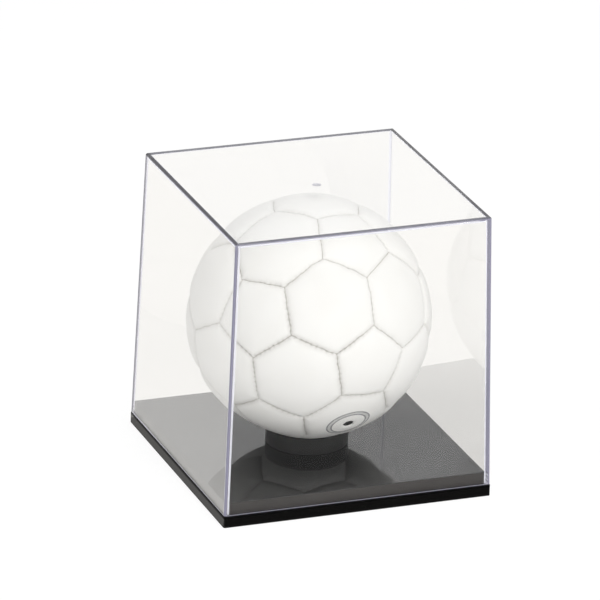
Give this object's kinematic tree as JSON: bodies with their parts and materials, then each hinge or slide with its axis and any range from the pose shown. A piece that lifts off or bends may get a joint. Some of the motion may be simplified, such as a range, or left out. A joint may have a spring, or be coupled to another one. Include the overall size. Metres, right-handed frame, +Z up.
{
  "type": "ball display case",
  "caption": "Clear square display case on a black base, with a lift-off cover, a ring stand and a white stitched leather handball on it.",
  "frame": {"origin": "centre of the base's underside, on the surface it stands on", "axes": "+Z up; -Y is the front, the face seen lower right in the picture; +X to the right along it"},
  "size_m": [0.22, 0.22, 0.2295],
  "materials": {
    "black_gloss_plastic": "polished injection-moulded black, mirrors what stands on it",
    "clear_plastic": "clear polished plastic, one moulding",
    "black_satin_plastic": "satin black",
    "white_leather": "fine-grained soft white leather, matt sheen",
    "black_rubber": "matt moulded rubber"
  },
  "bodies": {
    "base_body": {"base": "black_gloss_plastic"},
    "cover_body": {"cover": "clear_plastic"},
    "stand_body": {"ring_stand": "black_satin_plastic"},
    "ball_body": {"pentagon_panel_01": "white_leather", "pentagon_panel_02": "white_leather", "pentagon_panel_03": "white_leather", "pentagon_panel_04": "white_leather", "pentagon_panel_05": "white_leather", "pentagon_panel_06": "white_leather", "pentagon_panel_07": "white_leather", "pentagon_panel_08": "white_leather", "pentagon_panel_09": "white_leather", "pentagon_panel_10": "white_leather", "pentagon_panel_11": "white_leather", "pentagon_panel_12": "white_leather", "hexagon_panel_01": "white_leather", "hexagon_panel_02": "white_leather", "hexagon_panel_03": "white_leather", "hexagon_panel_04": "white_leather", "hexagon_panel_05": "white_leather", "hexagon_panel_06": "white_leather", "hexagon_panel_07": "white_leather", "hexagon_panel_08": "white_leather", "hexagon_panel_09": "white_leather", "hexagon_panel_10": "white_leather", "hexagon_panel_11": "white_leather", "hexagon_panel_12": "white_leather", "hexagon_panel_13": "white_leather", "hexagon_panel_14": "white_leather", "hexagon_panel_15": "white_leather", "hexagon_panel_16": "white_leather", "hexagon_panel_17": "white_leather", "hexagon_panel_18": "white_leather", "hexagon_panel_19": "white_leather", "valve_panel": "white_leather", "bladder": "black_rubber", "valve": "black_rubber"}
  },
  "joints": [
    {"name": "cover_lift", "type": "slide", "parent": "base_body", "child": "cover_body", "axis": [0, 0, 1], "range_m": [0, 0.24]},
    {"name": "ring_lift", "type": "slide", "parent": "base_body", "child": "stand_body", "axis": [0, 0, 1], "range_m": [0, 0.009]},
    {"name": "ball_turn", "type": "hinge", "parent": "stand_body", "child": "ball_body", "pos_m": [-0.004, -0.005, 0.122], "axis": [0, 0, 1], "continuous": true}
  ]
}
